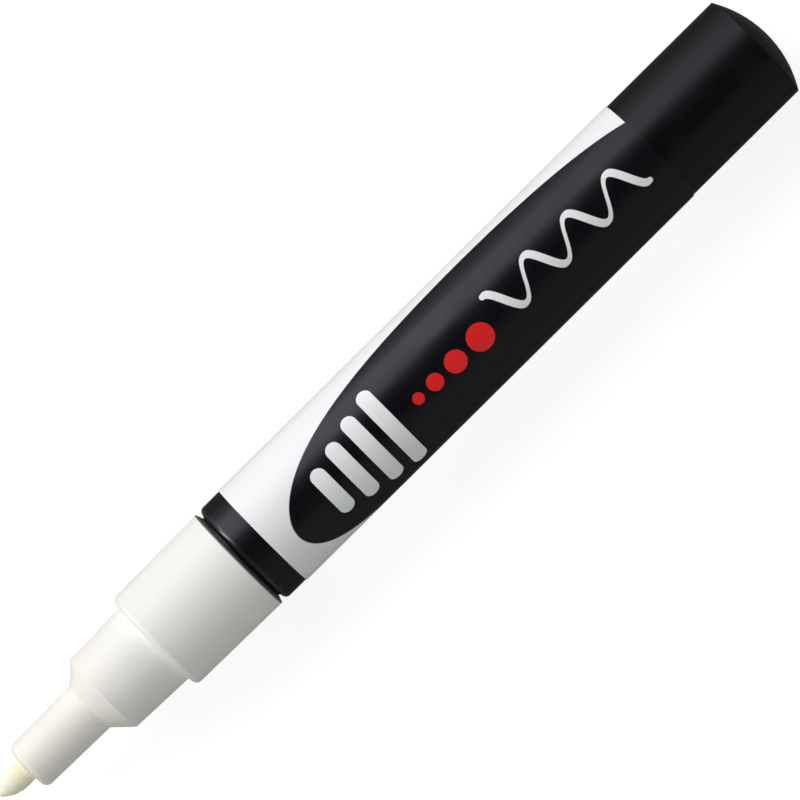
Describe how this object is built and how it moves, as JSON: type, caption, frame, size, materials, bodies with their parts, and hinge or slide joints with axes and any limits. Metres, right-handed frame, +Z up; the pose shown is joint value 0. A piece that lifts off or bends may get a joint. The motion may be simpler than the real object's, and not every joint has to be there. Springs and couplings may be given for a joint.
{
  "type": "liquid chalk marker",
  "caption": "Uncapped pump-action liquid chalk marker: fibre bullet nib, stepped white front section, black barrel with a printed sleeve, and a spring-loaded ink valve inside.",
  "frame": {"origin": "on the table, under the middle of the marker's length, with the marker lying on its side", "axes": "+X along the marker towards the nib, +Z up from the table"},
  "size_m": [0.1352, 0.0158, 0.0157],
  "materials": {
    "black_plastic": "satin",
    "printed_film": "satin print",
    "white_plastic": "satin",
    "nib_fibre": "bonded fibre",
    "natural_plastic": "natural",
    "spring_steel": "drawn wire",
    "seal_rubber": "matte",
    "ball_steel": "polished"
  },
  "bodies": {
    "marker": {"barrel": "black_plastic", "tail_plug": "black_plastic", "printed_sleeve": "printed_film", "front_section": "white_plastic", "valve_body": "natural_plastic", "neck_gasket": "seal_rubber", "spring_cage": "natural_plastic", "valve_spring": "spring_steel"},
    "nib": {"nib": "nib_fibre"},
    "valve_stem": {"valve_stem": "natural_plastic"},
    "mixing_ball": {"mixing_ball": "ball_steel"}
  },
  "joints": [
    {"name": "nib_press", "type": "slide", "parent": "marker", "child": "nib", "axis": [-1, 0, 0], "range_m": [0, 0.0015], "stiffness_N_per_m": 500},
    {"name": "valve_lift", "type": "slide", "parent": "marker", "child": "valve_stem", "axis": [-1, 0, 0], "range_m": [0, 0.0015], "deforming": ["valve_spring"]},
    {"name": "ball_shake", "type": "slide", "parent": "marker", "child": "mixing_ball", "axis": [1, 0, 0], "range_m": [0, 0.075]}
  ],
  "couplings": [
    {"joint": "valve_lift", "follows": "nib_press", "ratio": 1}
  ]
}
